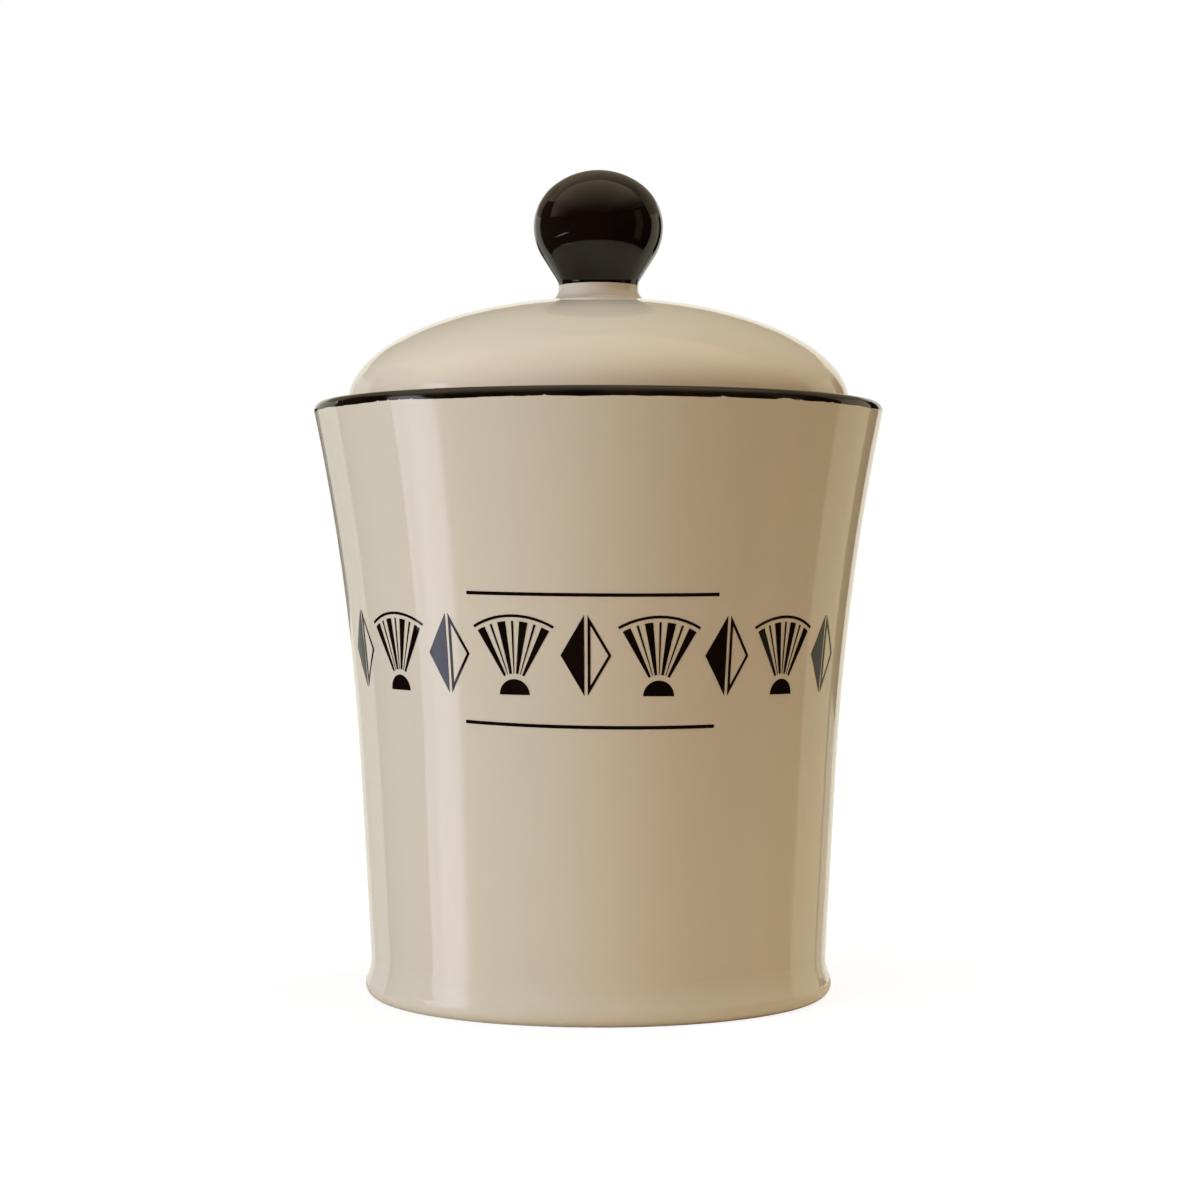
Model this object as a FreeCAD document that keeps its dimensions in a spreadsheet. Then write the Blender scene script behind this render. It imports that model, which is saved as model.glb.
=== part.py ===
import FreeCAD, Part
import math
import operator
import os
import Sketcher
from FreeCAD import Vector

# Biscuit jar: a flared stoneware jar with a rolled foot, and a domed lid with a ball knob.
# Millimetres, +Z up, origin on the jar's axis at the plane that it stands on.

DRIVING_SIZES = [
    ("rim_radius", 90.0, "jar: widest point of the lip"),
    ("rim_height", 187.0, "jar: top of the lip above the table"),
    ("wall", 5.4, "jar: wall, which the lip closes with a full round"),
    ("neck_radius", 72.15, "jar: outside, just above the foot roll"),
    ("neck_height", 13.0, "jar: where the foot roll has run into the wall"),
    ("flare_radius", 75.4, "jar: outside, where the straight lower wall starts to flare"),
    ("flare_height", 72.0, "jar: height of that place"),
    ("foot_radius", 69.9, "foot: outer edge of the flat that touches the table"),
    ("foot_roll", 3.9, "foot: radius of the roll round it"),
    ("foot_width", 5.0, "foot: width of that flat"),
    ("foot_recess", 2.2, "foot: how far the bottom is hollowed above the table"),
    ("foot_chamfer", 0.8, "foot: chamfer of the hollow's edges"),
    ("floor", 6.0, "jar: thickness of the bottom"),
    ("floor_round", 9.0, "jar: inside round between bottom and wall"),
    ("seat_depth", 6.0, "ledge: how far the lid's seat lies below the lip"),
    ("ledge_height", 7.0, "ledge: height of its bore"),
    ("ledge_slope", 45.0, "ledge: angle of its underside to the table, in degrees"),
    ("ledge_chamfer", 1.0, "ledge: chamfer of its edges"),
    ("lid_side_gap", 5.2, "lid: room between its side and the inside of the lip"),
    ("lid_bearing", 6.0, "lid: how far it reaches out over the ledge"),
    ("lid_edge", 6.0, "lid: height of its side under the dome"),
    ("lid_edge_round", 2.0, "lid: rounding of its lower edge"),
    ("lid_wall", 5.0, "lid: thickness at the crown"),
    ("dome_rise", 33.2, "lid: rise of the dome"),
    ("crown_flat", 7.5, "lid: radius of the flat in the middle of the dome's inside"),
    ("flange_gap", 3.0, "lid: room between its flange and the ledge's bore"),
    ("flange_wall", 4.5, "lid: thickness of the flange"),
    ("flange_depth", 13.0, "lid: how far the flange reaches below the seat"),
    ("collar_radius", 12.65, "lid: collar that carries the knob"),
    ("collar_rise", 4.3, "lid: seat of the knob above the crown of the dome"),
    ("collar_round", 4.5, "lid: round between collar and dome"),
    ("knob_radius", 20.6, "knob: widest point"),
    ("knob_flattening", 2.6, "knob: how much less than its radius the crown rises"),
    ("knob_shoulder_inset", 4.0, "knob: upper curve's centre from the axis"),
    ("knob_belly_inset", 2.5, "knob: lower curve's centre from the axis"),
    ("knob_stem_angle", 32.5, "knob: angle of the stem's side to the axis, in degrees"),
    ("knob_stem_hollow", 3.6, "knob: radius of the hollow curve where the stem meets the collar"),
    ("seal_height", 6.0, "seal: height of its band"),
    ("seal_drop", 1.4, "seal: top of its band below the lid's seat"),
    ("seal_inset", 1.6, "seal: depth of its groove in the flange"),
    ("seal_band", 2.0, "seal: thickness of its band"),
    ("seal_fit", 0.05, "seal: room between its band and the bottom of the groove"),
    ("seal_clearance", 0.3, "seal: room between the fins at rest and the ledge's bore"),
    ("fin_root", 0.9, "seal: thickness of a fin at the band"),
    ("fin_tip", 0.5, "seal: thickness of a fin at its edge"),
    ("fin_lift", 0.6, "seal: how much a fin's edge stands above its root"),
    ("fin_margin", 0.8, "seal: band left bare below the lowest fin and above the highest"),
]
FIN_COUNT = 3
START, END, CENTRE = 1, 2, 3
ORIGIN = (-1, 1)
FLAT_AXIS = -1
UPRIGHT_AXIS = -2
SAME_PLACE = 0.001

document = FreeCAD.newDocument("biscuit_jar")
sheet = document.addObject("Spreadsheet::Sheet", "sizes")
for row, (name, number, meaning) in enumerate(DRIVING_SIZES, 1):
    sheet.set(f"A{row}", name)
    sheet.set(f"B{row}", str(number))
    sheet.set(f"C{row}", meaning)
    sheet.setAlias(f"B{row}", name)
document.recompute()


# Sizes that carry their formula, so that each sketch follows the sheet

def combined(sign, work_out):
    """The method that joins two sizes with a sign, as a value and as a formula."""
    def method(self, other):
        if not isinstance(other, Size):
            other = Size(other, str(other))
        return Size(work_out(self.value, other.value), f"({self.formula} {sign} {other.formula})")
    return method


class Size:
    """A size with both its present value and its formula in the sheet's names."""

    def __init__(self, value, formula):
        self.value = value
        self.formula = formula

    __add__ = combined("+", operator.add)
    __sub__ = combined("-", operator.sub)
    __mul__ = combined("*", operator.mul)
    __truediv__ = combined("/", operator.truediv)

    def __float__(self):
        return float(self.value)


def size(name):
    """A driving size of the sheet."""
    return Size(sheet.get(name), f"sizes.{name}")


wall = size("wall")
seat_height = size("rim_height") - size("seat_depth")
lid_radius = size("rim_radius") - wall - size("lid_side_gap")
mouth_radius = lid_radius - size("lid_bearing")
flange_radius = mouth_radius - size("flange_gap")
groove_radius = flange_radius - size("seal_inset")
seal_bottom = size("seal_drop") + size("seal_height")
knob_seat = size("lid_edge") + size("dome_rise") + size("collar_rise")


# Half sections of turned pieces

def at(x, height):
    """A point of a section: distance from the axis, and height."""
    return Vector(float(x), float(height), 0)


def bearing(centre, point):
    """Angle at which a point lies from an arc's centre, from 0 to 2 pi."""
    return math.atan2(point.y - centre.y, point.x - centre.x) % (2 * math.pi)


def toward(centre, target, distance):
    """The point at a distance from a centre on the way to another point."""
    return centre + (target - centre).normalize() * float(distance)


class Section:
    """Half section of a turned piece: a sketch on the body's XZ plane, with the axis upright."""

    def __init__(self, body, name):
        self.body = body
        self.sketch = body.newObject("Sketcher::SketchObject", name)
        plane = next(f for f in body.Origin.OriginFeatures if f.Role == "XZ_Plane")
        self.sketch.AttachmentSupport = [(plane, "")]
        self.sketch.MapMode = "FlatFace"

    def line(self, start, end):
        return self.sketch.addGeometry(Part.LineSegment(start, end), False)

    def outline(self, *corners):
        """Closed ring of straight lines."""
        lines = [self.line(start, end) for start, end in zip(corners, corners[1:] + corners[:1])]
        self.join(*((first, END, second, START) for first, second in zip(lines, lines[1:] + lines[:1])))
        return lines

    def arc(self, centre, start, end):
        """Arc of a circle, anticlockwise from start to end."""
        circle = Part.Circle(centre, Vector(0, 0, 1), (start - centre).Length)
        first = bearing(centre, start)
        last = bearing(centre, end)
        if last < first:
            last += 2 * math.pi
        return self.sketch.addGeometry(Part.ArcOfCircle(circle, first, last), False)

    def dome(self, springing, half_width, rise, inner_x):
        """Part of an ellipse about the axis, from its widest point up to a distance from the axis."""
        whole = Part.Ellipse(at(0, springing), float(half_width), float(rise))
        last = math.acos(float(inner_x) / float(half_width))
        arc = self.sketch.addGeometry(Part.ArcOfEllipse(whole, 0, last), False)
        self.sketch.exposeInternalGeometry(arc)
        across, upright = arc + 1, arc + 2
        self.tie("Horizontal", across)
        self.measure("Distance", half_width * 2, across)
        self.measure("Distance", rise * 2, upright)
        self.tie("PointOnObject", arc, CENTRE, UPRIGHT_AXIS)
        self.place(arc, CENTRE, height=springing)
        self.place(arc, START, height=springing)
        return arc

    def tie(self, kind, *places):
        self.sketch.addConstraint(Sketcher.Constraint(kind, *places))

    def tie_each(self, kind, *elements):
        for element in elements:
            self.tie(kind, element)

    def join(self, *pairs):
        for pair in pairs:
            self.tie("Coincident", *pair)

    def run_smoothly(self, *pairs):
        for pair in pairs:
            self.tie("Tangent", *pair)

    def measure(self, kind, amount, *places):
        """Add a dimension that follows the sheet."""
        number = self.sketch.addConstraint(Sketcher.Constraint(kind, *places, float(amount)))
        self.sketch.setExpression(f"Constraints[{number}]", amount.formula)

    def slant(self, element, degrees):
        """Fix the angle of a line, from its start to its end, to the horizontal."""
        angle = math.radians(float(degrees))
        number = self.sketch.addConstraint(Sketcher.Constraint("Angle", element, angle))
        self.sketch.setExpression(f"Constraints[{number}]", f"{degrees.formula} * 1 deg")

    def place(self, element, end, x=None, height=None):
        """Fix an end of an element by its distance from the axis, its height or both."""
        if x is not None:
            self.measure("DistanceX", x, *ORIGIN, element, end)
        if height is not None:
            self.measure("DistanceY", height, *ORIGIN, element, end)

    def turned(self, kind, name):
        """Spin the section round the axis, as a Revolution or a Groove."""
        feature = self.body.newObject(f"PartDesign::{kind}", name)
        feature.Profile = self.sketch
        feature.ReferenceAxis = (self.sketch, ["V_Axis"])
        feature.Angle = 360
        document.recompute()
        return feature


def piece(name, height=None):
    """A body named after its piece, with its own zero at a height above the table."""
    body = document.addObject("PartDesign::Body", name)
    body.Label = name
    if height is not None:
        body.setExpression("Placement.Base.z", height.formula)
    return body


def cut_square(body, name, inner, outer, low, high):
    """Turn away a ring of square section between two radii and two heights."""
    section = Section(body, f"{name}_section")
    bottom, side, top, inside = section.outline(
        at(inner, low), at(outer, low), at(outer, high), at(inner, high)
    )
    section.tie_each("Horizontal", bottom, top)
    section.tie_each("Vertical", side, inside)
    section.place(bottom, START, x=inner, height=low)
    section.place(side, END, x=outer, height=high)
    return section.turned("Groove", name)


def near(value, wanted):
    return abs(value - float(wanted)) < SAME_PLACE


def soften(body, name, kind, amount, is_wanted):
    """Give a Fillet or Chamfer to the ring-shaped edges that a test on radius and height picks out."""
    base = body.Tip
    rings = []
    for number, edge in enumerate(base.Shape.Edges, 1):
        if edge.Degenerated or not isinstance(edge.Curve, Part.Circle):
            continue
        if is_wanted(edge.Curve.Radius, edge.Curve.Center.z):
            rings.append(f"Edge{number}")
    feature = body.newObject(f"PartDesign::{kind}", name)
    feature.Base = (base, rings)
    feature.setExpression({"Fillet": "Radius", "Chamfer": "Size"}[kind], amount.formula)
    document.recompute()
    return feature


# The jar: foot roll, wall and full-round lip in one section of even thickness, with the ledge
# that carries the lid standing in from the flared wall

def hollow_radius(point, outward, round_centre, round_radius):
    """Radius of the hollow arc that leaves a wall at a point and runs smoothly into a round."""
    reach = point - round_centre
    return (reach.Length ** 2 - round_radius ** 2) / (2 * (round_radius - reach.dot(outward)))


def make_jar_body():
    body = piece("jar_body")
    section = Section(body, "jar_section")
    thickness = float(wall)
    floor_top = size("foot_recess") + size("floor")
    ledge_bottom = seat_height - size("ledge_height")
    lip_x = size("rim_radius") - wall / 2
    lip_height = size("rim_height") - wall / 2

    roll = at(size("foot_radius"), size("foot_roll"))
    neck = at(size("neck_radius"), size("neck_height"))
    flare = at(size("flare_radius"), size("flare_height"))
    lip = at(lip_x, lip_height)
    up = (flare - neck).normalize()
    outward = Vector(up.y, -up.x, 0)
    cove = neck + outward * hollow_radius(neck, outward, roll, float(size("foot_roll")))
    roll_end = toward(roll, cove, size("foot_roll"))
    sweep = flare + outward * hollow_radius(flare, outward, lip, thickness / 2)
    lip_outer = toward(lip, sweep, wall / 2)
    lip_inner = lip * 2 - lip_outer
    inner_flare = flare - outward * thickness
    inner_neck = neck - outward * thickness
    inner_sweep = (inner_flare - sweep).Length

    def inner_wall(height):
        drop = float(height) - sweep.y
        return at(sweep.x - math.sqrt(inner_sweep ** 2 - drop ** 2), height)

    ledge_root = inner_wall(seat_height)
    slope = math.tan(math.radians(float(size("ledge_slope"))))
    under = inner_wall(float(ledge_bottom) - slope * (ledge_root.x - float(mouth_radius)))
    turn = at(inner_neck.x - float(size("floor_round")), floor_top + size("floor_round"))
    turn_side = turn + Vector(float(size("floor_round")), 0, 0)
    turn_bottom = turn - Vector(0, float(size("floor_round")), 0)

    base = section.line(at(0, 0), at(size("foot_radius"), 0))
    foot = section.arc(roll, at(size("foot_radius"), 0), roll_end)
    foot_cove = section.arc(cove, neck, roll_end)
    lower_wall = section.line(neck, flare)
    flared_wall = section.arc(sweep, lip_outer, flare)
    lip_round = section.arc(lip, lip_outer, lip_inner)
    inner_lip = section.arc(sweep, lip_inner, ledge_root)
    ledge_top = section.line(ledge_root, at(mouth_radius, seat_height))
    ledge_bore = section.line(at(mouth_radius, seat_height), at(mouth_radius, ledge_bottom))
    ledge_under = section.line(at(mouth_radius, ledge_bottom), under)
    inner_flared_wall = section.arc(sweep, under, inner_flare)
    inner_lower_wall = section.line(inner_flare, turn_side)
    floor_turn = section.arc(turn, turn_bottom, turn_side)
    floor_line = section.line(turn_bottom, at(0, floor_top))
    axis_line = section.line(at(0, floor_top), at(0, 0))

    section.run_smoothly(
        (base, END, foot, START),
        (foot, END, foot_cove, END),
        (foot_cove, START, lower_wall, START),
        (lower_wall, END, flared_wall, END),
        (flared_wall, START, lip_round, START),
        (lip_round, END, inner_lip, START),
        (inner_flared_wall, END, inner_lower_wall, START),
        (inner_lower_wall, END, floor_turn, END),
        (floor_turn, START, floor_line, START),
    )
    section.join(
        (inner_lip, END, ledge_top, START),
        (ledge_top, END, ledge_bore, START),
        (ledge_bore, END, ledge_under, START),
        (ledge_under, END, inner_flared_wall, START),
        (floor_line, END, axis_line, START),
        (axis_line, END, base, START),
        (base, START, *ORIGIN),
        (inner_lip, CENTRE, flared_wall, CENTRE),
        (inner_flared_wall, CENTRE, flared_wall, CENTRE),
    )
    section.tie_each("Horizontal", base, ledge_top, floor_line)
    section.tie_each("Vertical", ledge_bore, axis_line)
    section.tie("Equal", inner_lip, inner_flared_wall)
    section.tie("Parallel", lower_wall, inner_lower_wall)
    section.place(foot, START, x=size("foot_radius"))
    section.measure("Radius", size("foot_roll"), foot)
    section.place(lower_wall, START, x=size("neck_radius"), height=size("neck_height"))
    section.place(lower_wall, END, x=size("flare_radius"), height=size("flare_height"))
    section.measure("Radius", wall / 2, lip_round)
    section.place(lip_round, CENTRE, x=lip_x, height=lip_height)
    section.place(ledge_top, END, x=mouth_radius, height=seat_height)
    section.place(ledge_bore, END, height=ledge_bottom)
    section.slant(ledge_under, size("ledge_slope") * -1)
    section.measure("Radius", size("floor_round"), floor_turn)
    section.place(floor_line, END, height=floor_top)
    section.turned("Revolution", "wall_and_ledge")

    foot_inner = size("foot_radius") - size("foot_width")
    zero = Size(0, "0")
    cut_square(body, "foot_hollow", zero, foot_inner, zero, size("foot_recess"))
    soften(
        body,
        "foot_edges",
        "Chamfer",
        size("foot_chamfer"),
        lambda radius, height: near(radius, foot_inner),
    )
    soften(
        body,
        "ledge_edges",
        "Chamfer",
        size("ledge_chamfer"),
        lambda radius, height: near(radius, mouth_radius),
    )
    return body


# The lid: a domed shell whose side stands on the ledge, with a flange that hangs inside the
# ledge's bore, and a collar for the knob. Its zero is the plane of the seat

def make_lid():
    body = piece("lid", seat_height)
    section = Section(body, "lid_section")
    springing = size("lid_edge")
    edge_round = float(size("lid_edge_round"))
    flange_inner = flange_radius - size("flange_wall")
    inner_rise = size("dome_rise") - size("lid_wall")
    flange_foot = size("flange_wall") / 2 - size("flange_depth")

    def dome_height(half_width, rise, x):
        level = math.sqrt(1 - (float(x) / float(half_width)) ** 2)
        return float(springing) + float(rise) * level

    collar_foot = dome_height(lid_radius, size("dome_rise"), size("collar_radius"))
    collar_root = at(size("collar_radius"), collar_foot)
    crown_edge = at(size("crown_flat"), dome_height(flange_inner, inner_rise, size("crown_flat")))
    edge_centre = at(float(lid_radius) - edge_round, edge_round)
    edge_bottom = edge_centre - Vector(0, edge_round, 0)
    edge_side = edge_centre + Vector(edge_round, 0, 0)
    flange_tip = at(flange_radius - size("flange_wall") / 2, flange_foot)

    outer_dome = section.dome(springing, lid_radius, size("dome_rise"), size("collar_radius"))
    inner_dome = section.dome(springing, flange_inner, inner_rise, size("crown_flat"))
    seat = section.line(at(flange_radius, 0), edge_bottom)
    lower_edge = section.arc(edge_centre, edge_bottom, edge_side)
    side = section.line(edge_side, at(lid_radius, springing))
    collar = section.line(collar_root, at(size("collar_radius"), knob_seat))
    collar_top = section.line(at(size("collar_radius"), knob_seat), at(0, knob_seat))
    axis_line = section.line(at(0, knob_seat), at(0, crown_edge.y))
    crown = section.line(at(0, crown_edge.y), crown_edge)
    flange_inside = section.line(at(flange_inner, springing), at(flange_inner, flange_foot))
    flange_end = section.arc(flange_tip, at(flange_inner, flange_foot), at(flange_radius, flange_foot))
    flange_outside = section.line(at(flange_radius, flange_foot), at(flange_radius, 0))

    section.run_smoothly(
        (seat, END, lower_edge, START),
        (lower_edge, END, side, START),
        (flange_inside, END, flange_end, START),
        (flange_end, END, flange_outside, START),
    )
    section.join(
        (side, END, outer_dome, START),
        (outer_dome, END, collar, START),
        (collar, END, collar_top, START),
        (collar_top, END, axis_line, START),
        (axis_line, END, crown, START),
        (crown, END, inner_dome, END),
        (inner_dome, START, flange_inside, START),
        (flange_outside, END, seat, START),
    )
    section.tie_each("Horizontal", seat, collar_top, crown)
    section.tie_each("Vertical", side, collar, axis_line, flange_inside, flange_outside)
    section.tie("PointOnObject", seat, START, FLAT_AXIS)
    section.place(seat, START, x=flange_radius)
    section.measure("Radius", size("lid_edge_round"), lower_edge)
    section.place(collar, END, x=size("collar_radius"), height=knob_seat)
    section.tie("PointOnObject", collar_top, END, UPRIGHT_AXIS)
    section.place(crown, END, x=size("crown_flat"))
    section.measure("DistanceY", size("flange_depth") - size("flange_wall") / 2, flange_end, END, *ORIGIN)
    section.turned("Revolution", "dome_and_flange")

    cut_square(body, "seal_groove", groove_radius, mouth_radius, seal_bottom * -1, size("seal_drop") * -1)
    soften(
        body,
        "collar_rounding",
        "Fillet",
        size("collar_round"),
        lambda radius, height: near(radius, size("collar_radius")) and near(height, collar_foot),
    )
    return body


# The knob: a slightly flattened ball on a short stem, stuck on the lid's collar with slip before
# firing. Its zero is that joint

def make_lid_knob():
    body = piece("lid_knob", seat_height + knob_seat)
    section = Section(body, "knob_section")
    radius = float(size("knob_radius"))
    neck_radius = float(size("collar_radius"))
    stem_hollow = float(size("knob_stem_hollow"))
    belly_inset = float(size("knob_belly_inset"))
    shoulder_inset = float(size("knob_shoulder_inset"))
    lean = math.radians(float(size("knob_stem_angle")))

    belly_radius = radius - belly_inset
    stem_reach = neck_radius + stem_hollow - belly_inset
    waist = (belly_radius + stem_hollow - stem_reach * math.cos(lean)) / math.sin(lean)
    aside = Vector(math.cos(lean), -math.sin(lean), 0)
    stem_centre = at(neck_radius + stem_hollow, 0)
    belly_centre = at(belly_inset, waist)
    shoulder_centre = at(shoulder_inset, waist)
    crown = size("knob_radius") - size("knob_flattening")
    crown_rise = float(crown)
    shoulder_radius = radius - shoulder_inset
    crown_radius = (shoulder_inset ** 2 + crown_rise ** 2 - shoulder_radius ** 2) / (
        2 * (crown_rise - shoulder_radius)
    )
    crown_centre = at(0, waist + crown_rise - crown_radius)
    crown_start = toward(crown_centre, shoulder_centre, crown_radius)
    widest = at(radius, waist)
    top = at(0, waist + crown_rise)
    stem_top = stem_centre - aside * stem_hollow
    belly_foot = belly_centre + aside * belly_radius

    seat = section.line(at(0, 0), at(neck_radius, 0))
    stem = section.arc(stem_centre, stem_top, at(neck_radius, 0))
    cone = section.line(stem_top, belly_foot)
    belly = section.arc(belly_centre, belly_foot, widest)
    shoulder = section.arc(shoulder_centre, widest, crown_start)
    crown_arc = section.arc(crown_centre, crown_start, top)
    axis_line = section.line(top, at(0, 0))

    section.run_smoothly(
        (stem, START, cone, START),
        (cone, END, belly, START),
        (belly, END, shoulder, START),
        (shoulder, END, crown_arc, START),
    )
    section.join(
        (seat, END, stem, END),
        (crown_arc, END, axis_line, START),
        (axis_line, END, seat, START),
        (seat, START, *ORIGIN),
    )
    section.tie("Vertical", axis_line)
    section.tie("Horizontal", seat)
    section.tie("PointOnObject", stem, CENTRE, FLAT_AXIS)
    section.tie("PointOnObject", crown_arc, CENTRE, UPRIGHT_AXIS)
    section.tie("Horizontal", belly, CENTRE, belly, END)
    section.place(seat, END, x=size("collar_radius"))
    section.measure("Radius", size("knob_stem_hollow"), stem)
    section.slant(cone, Size(90, "90") - size("knob_stem_angle"))
    section.place(belly, CENTRE, x=size("knob_belly_inset"))
    section.place(belly, END, x=size("knob_radius"))
    section.place(shoulder, CENTRE, x=size("knob_shoulder_inset"))
    section.measure("DistanceY", crown, belly, END, crown_arc, END)
    section.turned("Revolution", "ball_and_stem")
    return body


# The seal: a soft band in the flange's groove, with thin fins that lean upwards and wipe the
# ledge's bore. Its zero is the band's lower edge

def make_lid_seal():
    body = piece("lid_seal", seat_height - seal_bottom)
    band_inner = groove_radius + size("seal_fit")
    band_outer = band_inner + size("seal_band")
    zero = Size(0, "0")

    section = Section(body, "band_section")
    bottom, side, top, inside = section.outline(
        at(band_inner, zero), at(band_outer, zero),
        at(band_outer, size("seal_height")), at(band_inner, size("seal_height")),
    )
    section.tie_each("Horizontal", bottom, top)
    section.tie_each("Vertical", side, inside)
    section.place(bottom, START, x=band_inner, height=zero)
    section.place(side, END, x=band_outer, height=size("seal_height"))
    section.turned("Revolution", "band")

    root_x = band_inner + size("seal_band") / 2
    tip_x = mouth_radius - size("seal_clearance")
    root_low = size("fin_margin")
    root_high = root_low + size("fin_root")
    tip_low = root_low + size("fin_lift")
    tip_high = tip_low + size("fin_tip")
    fin = Section(body, "fin_section")
    under, tip, over, root = fin.outline(
        at(root_x, root_low), at(tip_x, tip_low), at(tip_x, tip_high), at(root_x, root_high)
    )
    fin.tie_each("Vertical", tip, root)
    fin.place(under, START, x=root_x, height=root_low)
    fin.place(under, END, x=tip_x, height=tip_low)
    fin.place(tip, END, height=tip_high)
    fin.place(over, END, height=root_high)
    first_fin = fin.turned("Revolution", "fin")

    fins = body.newObject("PartDesign::LinearPattern", "fins")
    fins.Originals = [first_fin]
    fins.Direction = (next(f for f in body.Origin.OriginFeatures if f.Role == "Z_Axis"), [""])
    fins.Occurrences = FIN_COUNT
    fins.setExpression("Length", (size("seal_height") - size("fin_margin") * 2 - size("fin_root")).formula)
    body.Tip = fins
    document.recompute()
    return body


pieces = [make_jar_body(), make_lid(), make_lid_knob(), make_lid_seal()]
document.recompute()

failed = [item.Name for item in document.Objects if {"Invalid", "Error"} & set(item.State)]
loose = [item.Name for item in document.Objects
         if item.isDerivedFrom("Sketcher::SketchObject") and not item.FullyConstrained]
broken = [body.Label for body in pieces if body.Shape.isNull() or not body.Shape.isValid()]
if failed or loose or broken:
    raise RuntimeError(f"failed: {failed}, not fully set out: {loose}, not solid: {broken}")

os.makedirs("parts", exist_ok=True)
for body in pieces:
    body.Shape.exportStep(f"parts/{body.Label}.step")
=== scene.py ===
import math

import bmesh
import bpy
from mathutils import Matrix, Vector, noise
from mathutils.bvhtree import BVHTree


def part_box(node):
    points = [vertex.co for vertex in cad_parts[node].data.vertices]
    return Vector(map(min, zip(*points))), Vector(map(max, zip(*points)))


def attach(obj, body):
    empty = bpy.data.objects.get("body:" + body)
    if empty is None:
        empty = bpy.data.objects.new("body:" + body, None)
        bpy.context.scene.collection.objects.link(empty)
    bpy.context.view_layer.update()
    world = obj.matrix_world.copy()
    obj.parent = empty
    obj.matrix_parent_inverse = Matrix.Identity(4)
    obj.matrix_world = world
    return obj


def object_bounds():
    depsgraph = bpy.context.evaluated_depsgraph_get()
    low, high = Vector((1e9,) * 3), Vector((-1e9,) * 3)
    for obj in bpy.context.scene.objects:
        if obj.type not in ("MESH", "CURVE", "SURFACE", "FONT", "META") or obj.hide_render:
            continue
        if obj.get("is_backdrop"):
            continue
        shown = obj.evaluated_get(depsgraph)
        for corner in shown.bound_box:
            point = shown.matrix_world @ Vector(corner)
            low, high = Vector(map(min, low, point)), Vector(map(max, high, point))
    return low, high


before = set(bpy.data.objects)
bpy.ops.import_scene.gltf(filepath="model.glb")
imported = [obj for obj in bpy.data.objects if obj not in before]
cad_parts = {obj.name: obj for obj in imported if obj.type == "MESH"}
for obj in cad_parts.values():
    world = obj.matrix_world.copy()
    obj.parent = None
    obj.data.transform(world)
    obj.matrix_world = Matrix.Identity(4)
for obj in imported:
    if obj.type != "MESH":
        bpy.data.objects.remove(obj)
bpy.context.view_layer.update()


# Jar: flared stoneware, slip cast in one piece with a rolled foot and an even wall. It is dipped in a
# warm grey-beige glaze and fired glossy; the foot ring and the ledge under the lid are wiped bare.

def joined(operation):
    """The two methods, plain and reflected, that join a flow to another flow or number."""
    def plain(self, other):
        return self.node("Math", {"operation": operation}, {0: self, 1: other})

    def reflected(self, other):
        return self.node("Math", {"operation": operation}, {0: other, 1: self})

    return plain, reflected


class Flow:
    """A value, colour or vector on its way through a material. Sums on values add Math nodes."""

    def __init__(self, tree, socket=None):
        self.tree = tree
        self.socket = socket

    __add__, __radd__ = joined("ADD")
    __sub__, __rsub__ = joined("SUBTRACT")
    __mul__, __rmul__ = joined("MULTIPLY")

    def node(self, kind, settings, inputs, output=0):
        """Any node: its settings come first, then the values or links of its sockets."""
        made = self.tree.nodes.new(f"ShaderNode{kind}")
        for name, value in settings.items():
            setattr(made, name, value)
        for name, value in inputs.items():
            if isinstance(value, Flow):
                self.tree.links.new(value.socket, made.inputs[name])
            else:
                made.inputs[name].default_value = value
        return Flow(self.tree, made.outputs[output] if made.outputs else None)

    def rise(self, low, high):
        """Smooth step of a value from 0 at one level to 1 at another."""
        levels = {"Value": self, "From Min": low, "From Max": high}
        return self.node("MapRange", {"interpolation_type": "SMOOTHSTEP"}, levels)

    def within(self, low, high, softness):
        """1 where a value lies between two levels, else 0."""
        return self.rise(low - softness, low) * (1 - self.rise(high, high + softness))

    def tint(self, first, second):
        """Colour that goes from the first to the second as the value goes from 0 to 1."""
        return self.node("Mix", {"data_type": "RGBA"}, {0: self, 6: first, 7: second}, 2)

    def cloud(self, scale, stretch=(1, 1, 1), detail=2.0):
        """Noise between 0 and 1 over a place, with its spots per metre and their stretch."""
        at = self.node("Mapping", {}, {"Vector": self, "Scale": stretch})
        return self.node("TexNoise", {}, {"Vector": at, "Scale": scale, "Detail": detail})


class Finish:
    """A material: constants on the shader's own sockets, and flows to the few that vary."""

    def __init__(self, name, constants):
        self.material = bpy.data.materials.new(name)
        self.material.use_nodes = True
        self.tree = self.material.node_tree
        self.shader = self.tree.nodes["Principled BSDF"]
        for socket, value in constants.items():
            self.shader.inputs[socket].default_value = value
        self.place = Flow(self.tree).node("TexCoord", {}, {}, "Object")
        self.height = self.place.node("SeparateXYZ", {}, {0: self.place}, "Z")
        flat = self.place.node("VectorMath", {"operation": "MULTIPLY"}, {0: self.place, 1: (1, 1, 0)})
        self.radius = flat.node("VectorMath", {"operation": "LENGTH"}, {0: flat}, "Value")

    def vary(self, socket, flow):
        """Let a flow set a socket of the shader."""
        self.tree.links.new(flow.socket, self.shader.inputs[socket])

    def ripple(self, height, depth, under=None):
        """Bump of a height between 0 and 1 whose full depth is given in metres."""
        inputs = {"Height": height, "Distance": depth, "Strength": 1.0}
        if under is not None:
            inputs["Normal"] = under
        return self.place.node("Bump", {}, inputs)


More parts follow.
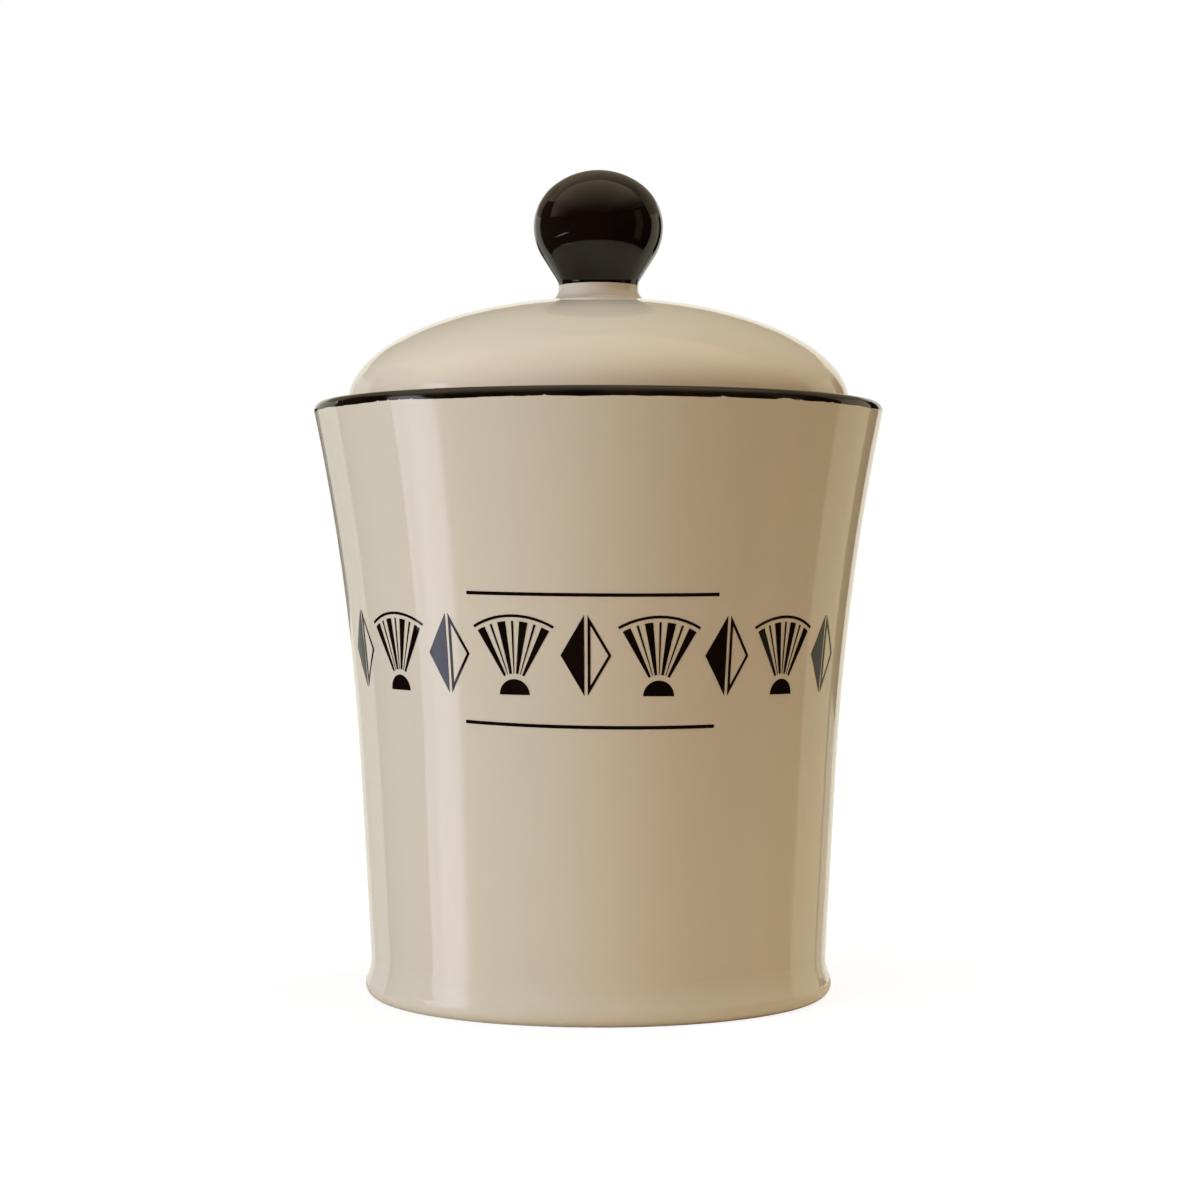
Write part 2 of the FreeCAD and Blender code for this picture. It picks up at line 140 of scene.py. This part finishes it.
GLAZE_GLASS = {"Specular IOR Level": 0.5, "IOR": 1.5}
GLAZE_WOBBLE = 0.00005
GLAZE_PEEL = 0.000002
CREAM_COOL = (0.600, 0.548, 0.440, 1)
CREAM_WARM = (0.640, 0.556, 0.438, 1)
# The thin edge's colour is lighter and warmer than the glaze: thin glaze and painted light.
CREAM_THIN_LIT = (0.690, 0.585, 0.445, 1)
CLAY_PALE = (0.610, 0.520, 0.410, 1)
CLAY_DARK = (0.50, 0.42, 0.33, 1)
CLAY_GRAIN = 0.00004
WIPE_WANDER = 0.0006
WIPE_SOFT = 0.0002


def cream_glaze(name, bare_zones, thin_lit_edge=None):
    """Warm grey-beige glaze; zones of (low, high, inner, outer) are wiped bare to the clay, and below
    the two levels of a thin edge the glaze is painted lighter and warmer, as thin glaze and painted light."""
    finish = Finish(name, GLAZE_GLASS)
    place = finish.place
    bare = 0.0
    for low, high, inner, outer in bare_zones:
        edge = place.cloud(160.0) * WIPE_WANDER
        zone = (finish.height + edge).within(low, high, WIPE_SOFT)
        zone = zone * (finish.radius + edge).within(inner, outer, WIPE_SOFT)
        bare = zone + bare
    runs = place.cloud(26.0, (1, 1, 0.12), 3.0)
    blotches = place.cloud(14.0)
    glaze = (runs * 0.55 + blotches * 0.45).rise(0.25, 0.75).tint(CREAM_COOL, CREAM_WARM)
    # Thin glaze and painted light: low down, the glaze is painted lighter and warmer where the lip shades
    # the lid's lower side.
    if thin_lit_edge:
        glaze = finish.height.rise(*thin_lit_edge).tint(CREAM_THIN_LIT, glaze)
    clay = place.cloud(900.0).tint(CLAY_PALE, CLAY_DARK)
    finish.vary("Base Color", bare.tint(glaze, clay))
    gloss = place.cloud(40.0) * 0.03 + 0.035
    finish.vary("Roughness", bare * 0.7 + gloss)
    wobble = finish.ripple(place.cloud(24.0, (1, 1, 0.45)), GLAZE_WOBBLE)
    peel = finish.ripple(place.cloud(420.0), GLAZE_PEEL, wobble)
    grain = finish.ripple(place.cloud(2400.0) * bare, CLAY_GRAIN, peel)
    finish.vary("Normal", grain)
    return finish.material


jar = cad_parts["jar_body"]
jar_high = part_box("jar_body")[1]
SEAT = 0.181
FOOT_BARE = (-0.001, 0.0003, 0.060, 0.0705)
LEDGE_BARE = (SEAT - 0.0009, SEAT + 0.001, 0.0725, 0.0828)
jar.material_slots[0].material = cream_glaze("cream_glaze_on_jar", [FOOT_BARE, LEDGE_BARE])


# Lip band: black glaze brushed round the lip while the jar turns on a wheel, over its crown and a
# little below its middle on both sides. Its outer edge wanders a little, as the brush did.

def spun(mesh, steps):
    """Turn the open or closed outline in a mesh round the upright axis into a closed skin."""
    bmesh.ops.spin(
        mesh, geom=mesh.verts[:] + mesh.edges[:], cent=(0, 0, 0), axis=(0, 0, 1), dvec=(0, 0, 0),
        angle=2 * math.pi, steps=steps, use_merge=True, use_duplicate=False,
    )
    bmesh.ops.remove_doubles(mesh, verts=mesh.verts, dist=1e-7)
    bmesh.ops.recalc_face_normals(mesh, faces=mesh.faces)


def outline(mesh, points):
    """Closed ring of edges through points of radius and height."""
    corners = [mesh.verts.new((x, 0, z)) for x, z in points]
    for first, second in zip(corners, corners[1:] + corners[:1]):
        mesh.edges.new((first, second))


SMOOTH_BELOW = math.radians(30.0)


def finished(name, mesh, material):
    """Object made from a bmesh, smooth but for its sharp edges."""
    data = bpy.data.meshes.new(name)
    mesh.to_mesh(data)
    mesh.free()
    data.shade_smooth()
    data.set_sharp_from_angle(angle=SMOOTH_BELOW)
    data.materials.append(material)
    made = bpy.data.objects.new(name, data)
    bpy.context.scene.collection.objects.link(made)
    return made


BLACK_THICK = (0.0042, 0.0018, 0.0014, 1)
BLACK_THIN = (0.016, 0.009, 0.005, 1)


def black_glaze(name, brown):
    """Brown-black glaze, browner where a cloud says that it lies thin."""
    finish = Finish(name, GLAZE_GLASS)
    place = finish.place
    thin = place.cloud(55.0, (1, 1, 0.6), 3.0).rise(0.35, 0.8)
    finish.vary("Base Color", (thin * brown).tint(BLACK_THICK, BLACK_THIN))
    finish.vary("Roughness", place.cloud(60.0) * 0.03 + 0.03)
    wobble = finish.ripple(place.cloud(38.0), GLAZE_WOBBLE)
    finish.vary("Normal", finish.ripple(place.cloud(420.0), GLAZE_PEEL, wobble))
    return finish.material


LIP_ROUND = 0.0027
BAND_LIFT = 0.000012
BAND_DEPTH = 0.0004
BAND_START = -12.0
BAND_SWEEP = 198.0
BAND_POINTS = 40
BAND_STEPS = 360
BAND_WANDER = 0.00022
BRUSH_WAVES = ((3.1, 1.0), (9.0, 0.55), (31.0, 0.3))
lip_x = jar_high.x - LIP_ROUND
lip_z = jar_high.z - LIP_ROUND


def lip_arc(reach):
    """Points of radius and height round the lip's own centre, from the wall over to the mouth."""
    turns = [math.radians(BAND_START + BAND_SWEEP * i / BAND_POINTS) for i in range(BAND_POINTS + 1)]
    return [(lip_x + reach * math.cos(turn), lip_z + reach * math.sin(turn)) for turn in turns]


band_mesh = bmesh.new()
outline(band_mesh, lip_arc(LIP_ROUND + BAND_LIFT) + lip_arc(LIP_ROUND - BAND_DEPTH)[::-1])
spun(band_mesh, BAND_STEPS)
for corner in band_mesh.verts:
    bearing = math.atan2(corner.co.y, corner.co.x)
    near_edge = max(0.0, 1 - (corner.co.z - lip_z) / LIP_ROUND)
    ring = Vector((math.cos(bearing), math.sin(bearing), 0.0))
    wander = sum(share * noise.noise(ring * waves) for waves, share in BRUSH_WAVES)
    if corner.co.xy.length > lip_x:
        corner.co.z += BAND_WANDER * wander * near_edge ** 3
band = finished("lip_band", band_mesh, black_glaze("black_glaze_on_lip", brown=1.2))
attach(band, "jar")


# Transfers: two thin rules and a frieze of fans and lozenges, printed in black, laid on the glazed wall
# by hand and fired on. They follow the wall, sit a little off level and stand a hair proud of it.

TRANSFER_LIFT = 0.0001
TRANSFER_SINK = 0.0003
SLICE = 0.002
FRONT_RADIUS = 0.0765
OUTSIDE = 0.2
bpy.context.view_layer.update()
wall = BVHTree.FromObject(jar, bpy.context.evaluated_depsgraph_get())


def lay_on_wall(mesh, aside, middle, tilt, bow):
    """Slice flat work into narrow strips, thicken it and wrap it round the front of the wall."""
    widths = [corner.co.x for corner in mesh.verts]
    first = math.floor(min(widths) / SLICE)
    last = math.ceil(max(widths) / SLICE)
    for number in range(first, last):
        bmesh.ops.bisect_plane(
            mesh, geom=mesh.verts[:] + mesh.edges[:] + mesh.faces[:],
            plane_co=(number * SLICE, 0, 0), plane_no=(1, 0, 0),
        )
    half = max(abs(width) for width in widths)
    for corner in mesh.verts:
        across = corner.co.x / half
        corner.co.z += middle - corner.co.x * math.tan(tilt) + bow * across ** 2
    skin = mesh.faces[:]
    thick = bmesh.ops.extrude_face_region(mesh, geom=skin)
    buried = {item for item in thick["geom"] if isinstance(item, bmesh.types.BMVert)}
    bmesh.ops.recalc_face_normals(mesh, faces=mesh.faces)
    for corner in mesh.verts:
        bearing = (corner.co.x + aside) / FRONT_RADIUS
        outward = Vector((math.sin(bearing), -math.cos(bearing), 0))
        far = outward * OUTSIDE + Vector((0, 0, corner.co.z))
        hit = wall.ray_cast(far, -outward)[0]
        lift = -TRANSFER_SINK if corner in buried else TRANSFER_LIFT
        corner.co = hit + outward * lift
    bmesh.ops.recalc_face_normals(mesh, faces=mesh.faces)


def flat_face(mesh, points):
    """Face through corners given across and up, facing the front."""
    return mesh.faces.new([mesh.verts.new((across, 0, up)) for across, up in points])


RULE_HALF = 0.0010 / 2
transfer_black = black_glaze("black_transfer", brown=0.3)
for name, half, aside, middle, tilt, bow in (
    ("rule_upper", 0.0365, -0.0017, 0.1268, math.radians(0.45), 0.0004),
    ("rule_lower", 0.0379, -0.0028, 0.0883, math.radians(0.95), 0.0006),
):
    rule = bmesh.new()
    flat_face(rule, [(-half, -RULE_HALF), (half, -RULE_HALF), (half, RULE_HALF), (-half, RULE_HALF)])
    lay_on_wall(rule, aside, middle, tilt, bow)
    made = finished(name, rule, transfer_black)
    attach(made, "jar")

FRIEZE_ASIDE = -0.0035
FRIEZE_MIDDLE = 0.1092
FRIEZE_TILT = math.radians(0.5)
FRIEZE_BOW = 0.0004
FRIEZE_HEIGHT = 0.0235
LOZENGES = 5
LOZENGE_WIDTH = 0.0135
LINE = 0.0008
GAP = 0.0022
FAN_HALF_ANGLE = math.radians(31)
FAN_RAYS = 7
FAN_DISC = 0.0046
RAY_START = 0.0062
RAY_END = FRIEZE_HEIGHT - 2.4 * LINE
WIDE_RAY = 0.74
NARROW_RAY = 0.2


def lozenge(mesh, middle):
    """Upright lozenge: its left half solid, its right half drawn in outline."""
    half = LOZENGE_WIDTH / 2
    tall = FRIEZE_HEIGHT / 2
    slit = LINE * 0.6
    flat_face(mesh, [(middle - slit, -tall), (middle - slit, tall), (middle - half - slit, 0)])
    open_half = flat_face(mesh, [(middle + slit, tall), (middle + slit, -tall), (middle + half + slit, 0)])
    open_half.normal_update()
    bmesh.ops.inset_region(
        mesh, faces=[open_half], thickness=LINE, depth=0, use_boundary=True, use_even_offset=True
    )
    bmesh.ops.delete(mesh, geom=[open_half], context="FACES")


def sector(mesh, centre, inner, outer, start, sweep, steps):
    """Piece of a ring: a short spoke turned about a centre, from an angle off the upright."""
    direction = Vector((math.sin(start), 0, math.cos(start)))
    ends = [mesh.verts.new(centre + direction * reach) for reach in (inner, outer)]
    spoke = mesh.edges.new(ends)
    bmesh.ops.spin(
        mesh, geom=ends + [spoke], cent=centre, axis=(0, 1, 0), dvec=(0, 0, 0),
        angle=sweep, steps=steps, use_merge=False, use_duplicate=False,
    )


def fan(mesh, middle):
    """Fan of rays, wide and narrow by turns, that rises from a half disc under a thin arch."""
    foot = Vector((middle, 0, -FRIEZE_HEIGHT / 2))
    step = 2 * FAN_HALF_ANGLE / FAN_RAYS
    for number in range(FAN_RAYS):
        share = WIDE_RAY if number % 2 == 0 else NARROW_RAY
        start = -FAN_HALF_ANGLE + step * (number + 0.5 - share / 2)
        sector(mesh, foot, RAY_START, RAY_END, start, step * share, 2)
    sector(mesh, foot, FRIEZE_HEIGHT - LINE, FRIEZE_HEIGHT, -FAN_HALF_ANGLE, 2 * FAN_HALF_ANGLE, 14)
    sector(mesh, foot, 0.0, FAN_DISC, -math.pi / 2, math.pi, 16)


frieze = bmesh.new()
fan_width = 2 * FRIEZE_HEIGHT * math.sin(FAN_HALF_ANGLE)
pitch = fan_width + LOZENGE_WIDTH + 2 * GAP
for number in range(LOZENGES):
    lozenge(frieze, (number - (LOZENGES - 1) / 2) * pitch)
for number in range(LOZENGES - 1):
    fan(frieze, (number - (LOZENGES - 2) / 2) * pitch)
bmesh.ops.remove_doubles(frieze, verts=frieze.verts, dist=1e-6)
lay_on_wall(frieze, FRIEZE_ASIDE, FRIEZE_MIDDLE, FRIEZE_TILT, FRIEZE_BOW)
made = finished("frieze", frieze, transfer_black)
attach(made, "jar")


# Lid: domed stoneware shell with a collar for the knob and, below, a flange that hangs in the mouth.
# It is dipped like the jar; the seat that stands on the ledge is wiped bare.

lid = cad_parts["lid"]
SEAT_BARE = (SEAT - 0.0005, SEAT + 0.0006, 0.0706, 0.0792)
# Heights of the lid's lower side that is painted lighter and warmer, as thin glaze and painted light.
EDGE_THIN_LIT = (0.187, 0.206)
lid.material_slots[0].material = cream_glaze("cream_glaze_on_lid", [SEAT_BARE], EDGE_THIN_LIT)


# Knob: pressed ball on a short stem, stuck on the collar with slip and dipped in brown-black glaze
# down to the joint. The glaze is glossy and shows brown where it lies thin.

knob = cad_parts["lid_knob"]
knob.material_slots[0].material = black_glaze("black_glaze_on_knob", brown=0.35)


# Seal: ring of milky silicone rubber, moulded in one piece and stretched into the groove of the flange.
# Its fins rub on the mouth of the jar. It is satin, with a faint moulded grain and dust on it.

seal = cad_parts["lid_seal"]
rubber = Finish("milky_silicone", {"IOR": 1.41, "Subsurface Weight": 0.3, "Subsurface Scale": 0.003})
dust = rubber.place.cloud(300.0).rise(0.5, 0.8)
MILKY = (0.80, 0.80, 0.77, 1)
DUSTY = (0.70, 0.69, 0.66, 1)
MOULD_GRAIN = 0.00001
rubber.vary("Base Color", dust.tint(MILKY, DUSTY))
rubber.vary("Roughness", rubber.place.cloud(120.0) * 0.15 + 0.38)
rubber.vary("Normal", rubber.ripple(rubber.place.cloud(1500.0), MOULD_GRAIN))
seal.material_slots[0].material = rubber.material


# Studio: a pale floor with a painted pool of light round the jar, that runs out to a white background,
# soft lamps that only light, and cards that only show in the gloss, where the real studio had lit and
# dark screens.

def heading(left, up=0.0):
    """Direction given by its bearing to the left of the camera's side and its angle above level."""
    turn = math.radians(left)
    rise = math.radians(up)
    return Vector((-math.sin(turn) * math.cos(rise), -math.cos(turn) * math.cos(rise), math.sin(rise)))


def floor_part(name, inner, outer):
    """Flat ring of the floor, from one radius to another."""
    mesh = bmesh.new()
    ends = [mesh.verts.new((reach, 0, 0)) for reach in (inner, outer)]
    mesh.edges.new(ends)
    spun(mesh, 96)
    made = finished(name, mesh, floor_material)
    made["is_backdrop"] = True
    return made


# Painted light: the floor's colour is lighter near the jar than far off, a painted pool of light that the
# jar takes as bounce light and sees in its gloss.
SHEET_NEAR_PAINTED_LIGHT = (0.90, 0.82, 0.68, 1)
SHEET_FAR = (0.58, 0.52, 0.41, 1)
SHEET_SEEN = (0.20, 0.20, 0.20, 1)
floor_material = bpy.data.materials.new("pale_floor")
floor_material.use_nodes = True
floor_tree = floor_material.node_tree
floor_tree.nodes.clear()
seen = Flow(floor_tree).node("LightPath", {}, {}, "Is Camera Ray")
spot = seen.node("TexCoord", {}, {}, "Object")
away = spot.node("VectorMath", {"operation": "LENGTH"}, {0: spot}, "Value")
# Painted pool of light: the floor's colour goes from lighter near the jar to darker far off.
sheet_painted_light = away.rise(0.12, 0.45).tint(SHEET_NEAR_PAINTED_LIGHT, SHEET_FAR)
paint = seen.node("BsdfDiffuse", {}, {"Color": seen.tint(sheet_painted_light, SHEET_SEEN)})
glow = seen.node("Emission", {}, {"Strength": seen * (away.rise(0.08, 0.4) * 0.14 + 0.86)})
both = seen.node("AddShader", {}, {0: paint, 1: glow})
both.node("OutputMaterial", {}, {"Surface": both})
NEAR_FLOOR = 0.10
FAR_FLOOR = 6.0
floor_part("floor_near", 0.0, NEAR_FLOOR)
floor_part("floor_far", NEAR_FLOOR, FAR_FLOOR).visible_glossy = False

world = bpy.data.worlds.new("studio")
bpy.context.scene.world = world
world.use_nodes = True
sky = world.node_tree.nodes["Background"]
AMBIENT = (0.255, 0.132, 0.058, 1)
GLOSSY_DARK = (0.02, 0.016, 0.012, 1)
BACKDROP = (1, 1, 1, 1)
rays = Flow(world.node_tree).node("LightPath", {}, {}, "Is Camera Ray")
glossy = rays.node("LightPath", {}, {}, "Is Glossy Ray")
tones = rays.tint(glossy.tint(AMBIENT, GLOSSY_DARK), BACKDROP)
world.node_tree.links.new(tones.socket, sky.inputs["Color"])

LAMP_DISTANCE = 1.6
LAMP_AIM = Vector((0, 0, 0.12))


def lamp(name, left, up, size, level):
    """Soft square lamp, aimed at the jar, at a level where 1 renders a colour as written."""
    data = bpy.data.lights.new(name, "AREA")
    data.shape = "SQUARE"
    data.size = size
    data.energy = math.pi ** 2 * LAMP_DISTANCE ** 2
    data.color = level
    made = bpy.data.objects.new(name, data)
    bpy.context.scene.collection.objects.link(made)
    toward = heading(left, up)
    made.location = LAMP_AIM + toward * LAMP_DISTANCE
    made.rotation_euler = (-toward).to_track_quat("-Z", "Y").to_euler()
    made.visible_camera = False
    made.visible_glossy = False


lamp("window", 72, 12, 0.7, (0.28, 0.40, 0.53))
lamp("key", 43, 22, 0.9, (0.39, 0.39, 0.41))
lamp("rear_right", -110, 45, 0.9, (0.39, 0.43, 0.39))
lamp("side_right", -55, 35, 0.9, (0.06, 0.04, 0.012))
lamp("overhead", 0, 85, 0.9, (0.27, 0.33, 0.36))


def card(name, mesh, level, tone=(1, 1, 1, 1), shade=None):
    """Luminous card that shows in gloss only; it may be shaded by a flow between 0 and 1."""
    material = bpy.data.materials.new(name)
    material.use_nodes = True
    tree = material.node_tree
    tree.nodes.clear()
    place = Flow(tree).node("TexCoord", {}, {}, "Object")
    strength = level if shade is None else shade(place) * level
    light = place.node("Emission", {}, {"Strength": strength, "Color": tone})
    light.node("OutputMaterial", {}, {"Surface": light})
    made = finished(name, mesh, material)
    made.visible_camera = False
    made.visible_diffuse = False
    made.visible_transmission = False
    made.visible_shadow = False
    made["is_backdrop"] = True


def screen_mesh(first, last, *ends):
    """Curved screen round the jar between two bearings; its ends are given by distance and height."""
    mesh = bmesh.new()
    start = heading(first)
    corners = [mesh.verts.new(start * distance + Vector((0, 0, height))) for distance, height in ends]
    side = mesh.edges.new(corners)
    bmesh.ops.spin(
        mesh, geom=corners + [side], cent=(0, 0, 0), axis=(0, 0, -1), dvec=(0, 0, 0),
        angle=math.radians(last - first), steps=24, use_merge=False, use_duplicate=False,
    )
    return mesh


def reach(place, direction):
    """How far a place lies along a direction."""
    return place.node("VectorMath", {"operation": "DOT_PRODUCT"}, {0: place, 1: direction}, "Value")


def along(place, direction, low, high):
    """Soft edge: rises from 0 to 1 between two distances along a direction."""
    return reach(place, direction).rise(low, high)


STRIP_FOOT = heading(40) * 0.082
STRIP_MIDDLE = 79
STRIP_HIGH_END = (0.135, 0.2095)
STRIP_LOW_END = (4.5, -1.10)
STRIP_LEVEL = 2.9
COOL = (0.78, 0.80, 1.0, 1)


def strip_edges(place):
    """Soft on the near side, dimmer past its middle and sharp on the far side. The slant is the
    tangent of the bearing off the strip's middle, seen from the wall that mirrors it."""
    moved = place.node("VectorMath", {"operation": "SUBTRACT"}, {0: place, 1: STRIP_FOOT})
    ahead = reach(moved, heading(STRIP_MIDDLE))
    aside = reach(moved, heading(STRIP_MIDDLE + 90))
    slant = aside.node("Math", {"operation": "DIVIDE"}, {0: aside, 1: ahead})
    near_edge = slant.rise(-0.277, -0.132)
    dimmer = 1 - slant.rise(0.035, 0.105) * 0.35
    far_edge = 1 - slant.rise(0.205, 0.22)
    return near_edge * dimmer * far_edge


strip = screen_mesh(40, 96, STRIP_HIGH_END, STRIP_LOW_END)
card("low_strip", strip, STRIP_LEVEL, COOL, strip_edges)
SCREEN = 1.1
REAR_WALL = SCREEN + 0.02
PALE = (1.0, 0.97, 0.86, 1)
WARM = (1.0, 0.82, 0.55, 1)
for name, first, last, low, high, level, tone in (
    ("screen_left", 125.5, 151, -0.60, 0.50, 0.65, PALE),
    ("screen_left_low", 151, 163, -0.60, 0.07, 0.90, PALE),
    ("screen_left_high", 151, 163, 0.26, 0.54, 0.90, PALE),
    ("screen_middle", 163, 210.5, -0.60, 0.60, 1.0, PALE),
    ("screen_right_low", 210.5, 221.5, -0.60, 0.0, 0.60, PALE),
    ("screen_right", 223.5, 251.5, -0.60, 0.57, 0.65, (1.0, 0.90, 0.66, 1)),
    ("faint_right", 275, 290, -0.20, 0.75, 0.17, WARM),
):
    card(name, screen_mesh(first, last, (SCREEN, low), (SCREEN, high)), level, tone)
rear_wall = screen_mesh(129, 255, (REAR_WALL, 0.50), (REAR_WALL, 1.25))
card("rear_wall", rear_wall, 0.34, WARM)

CEILING = 1.26
ACROSS = Vector((1, 0, 0))
DEEP = Vector((0, 1, 0))


def front_fall(place):
    """Falls off toward the front and toward both sides of the ceiling."""
    depth = along(place, DEEP, -1.7, 0.5) * 0.9 + along(place, DEEP, -3.0, -1.5) * 0.1
    left_side = along(place, ACROSS, -1.7, -0.8) * 0.42 + 0.58
    right_side = 1 - along(place, ACROSS, 0.45, 1.5) * 0.85
    return depth * left_side * right_side


def side_fall(place):
    """Falls off by half toward the right side of the ceiling."""
    return 1 - along(place, ACROSS, -0.8, 1.0) * 0.5


for name, left, right, front, back, level, shade in (
    ("ceiling_front", -4.0, 1.8, -3.0, 0.32, 1.0, front_fall),
    ("ceiling_back", -1.4, 1.1, 0.32, 1.15, 0.52, side_fall),
):
    ceiling = bmesh.new()
    span = Matrix.Diagonal(((right - left) / 2, (back - front) / 2, 1.0, 1.0))
    middle = Matrix.Translation(((right + left) / 2, (back + front) / 2, CEILING))
    bmesh.ops.create_grid(ceiling, x_segments=1, y_segments=1, size=1.0, matrix=middle @ span)
    card(name, ceiling, level, WARM, shade)


# Camera: nearly level, at the height of the jar's middle and straight in front, with a long lens. Its
# place and lens were fitted to the outline in the photograph.

CAMERA_DISTANCE = 0.871
CAMERA_HEIGHT = 0.131
CAMERA_ASIDE = 0.0005
CAMERA_DIP = math.radians(0.41)
SENSOR_WIDTH = 36.0
FOCAL_LENGTH = 82.1
lens = bpy.data.cameras.new("camera")
lens.sensor_width = SENSOR_WIDTH
lens.lens = FOCAL_LENGTH
camera = bpy.data.objects.new("camera", lens)
bpy.context.scene.collection.objects.link(camera)
camera.location = (CAMERA_ASIDE, -CAMERA_DISTANCE, CAMERA_HEIGHT)
camera.rotation_euler = (math.pi / 2 - CAMERA_DIP, 0, 0)
bpy.context.scene.camera = camera
bpy.context.scene.view_settings.view_transform = "Standard"

low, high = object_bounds()
